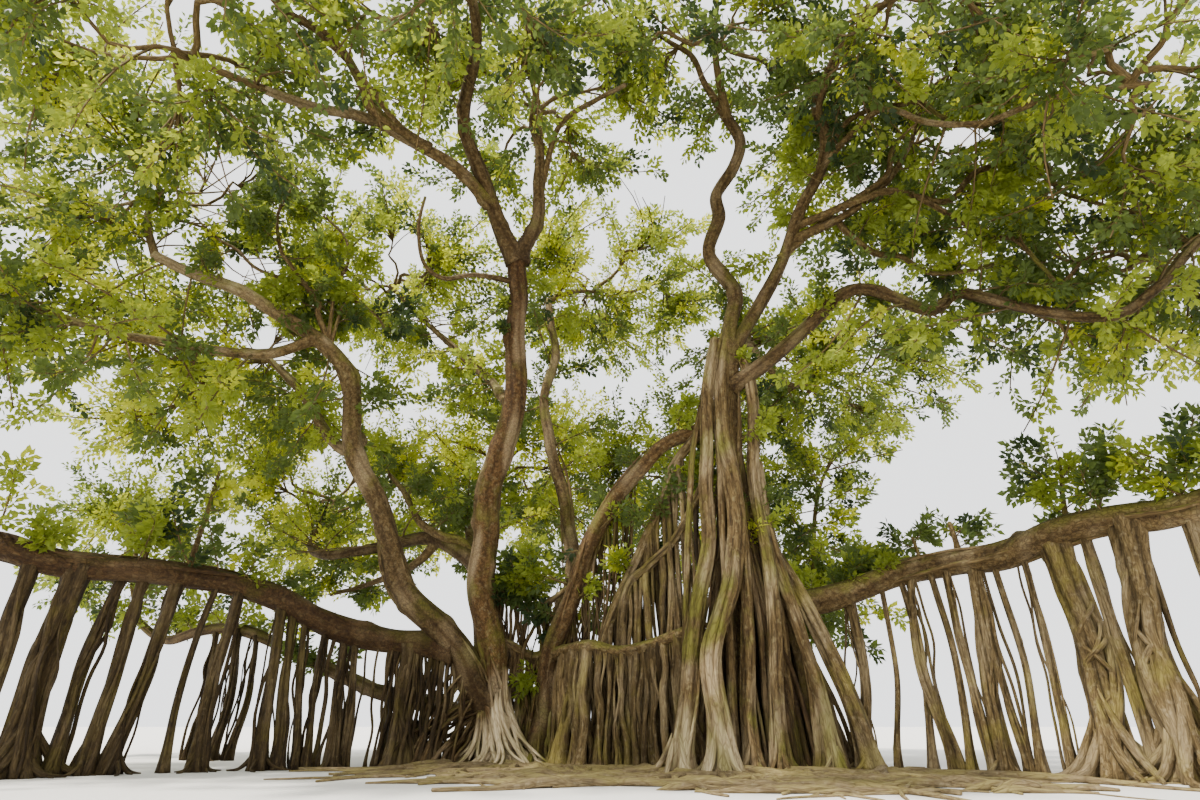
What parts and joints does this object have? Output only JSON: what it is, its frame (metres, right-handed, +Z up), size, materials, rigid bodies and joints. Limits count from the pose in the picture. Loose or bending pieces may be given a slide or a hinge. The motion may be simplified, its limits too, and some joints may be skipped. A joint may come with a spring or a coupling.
{
  "type": "banyan tree",
  "caption": "Whole banyan tree: leaning trunk with a forked top, a second trunk of fused pillar roots, long level boughs on prop roots, and a wide leafy top.",
  "frame": {"origin": "the flat cut under the main trunk, at ground level", "axes": "+Z up; +Y away from the side the tree is seen from; +X to the right as seen from that side, along the level boughs"},
  "size_m": [36.7326, 27.68, 21.2462],
  "materials": {
    "bark": "matt grey-brown bark with olive and mossy patches, finely ridged lengthwise",
    "root_bark": "matt paler bark of the aerial roots, ribbed lengthwise",
    "leaves": "satin green leaves, yellow-green where light comes through"
  },
  "bodies": {
    "root": {"back_centre_bough": "bark", "back_fork_bough": "bark", "back_left_bough": "bark", "back_left_roots": "root_bark", "back_low_bough": "bark", "back_right_bough": "bark", "big_diagonal_root": "root_bark", "curtain_bough": "bark", "diagonal_bough": "bark", "fan_roots": "root_bark", "far_left_bough": "bark", "fork_left_bough": "bark", "fork_outer_bough": "bark", "fork_right_bough": "bark", "fork_side_bough": "bark", "front_right_bough": "bark", "high_right_bough": "bark", "inner_right_bough": "bark", "leaves_back_centre": "leaves", "leaves_back_left_low": "leaves", "leaves_back_right": "leaves", "leaves_back_right_low": "leaves", "leaves_back_top_left": "leaves", "leaves_back_top_right": "leaves", "leaves_centre_top": "leaves", "leaves_far_left": "leaves", "leaves_far_right": "leaves", "leaves_front_centre": "leaves", "leaves_front_left": "leaves", "leaves_front_right": "leaves", "leaves_high_right": "leaves", "leaves_left_bough_end": "leaves", "leaves_left_high": "leaves", "leaves_left_middle": "leaves", "leaves_low_left": "leaves", "leaves_right_bough_end": "leaves", "leaves_right_front_low": "leaves", "leaves_right_top": "leaves", "left_bough": "bark", "left_roots_far": "root_bark", "left_roots_inner": "root_bark", "left_roots_middle": "root_bark", "left_roots_outer": "root_bark", "left_stem": "bark", "left_stem_branch": "bark", "long_right_bough": "bark", "low_left_bough": "bark", "main_trunk": "bark", "pillar_trunk": "bark", "right_bough": "bark", "right_roots_far": "root_bark", "right_roots_inner": "root_bark", "right_roots_middle": "root_bark", "right_roots_outer": "root_bark", "root_curtain": "root_bark", "slanting_roots": "root_bark", "slender_stem": "bark", "thin_side_branch": "bark"}
  },
  "joints": []
}
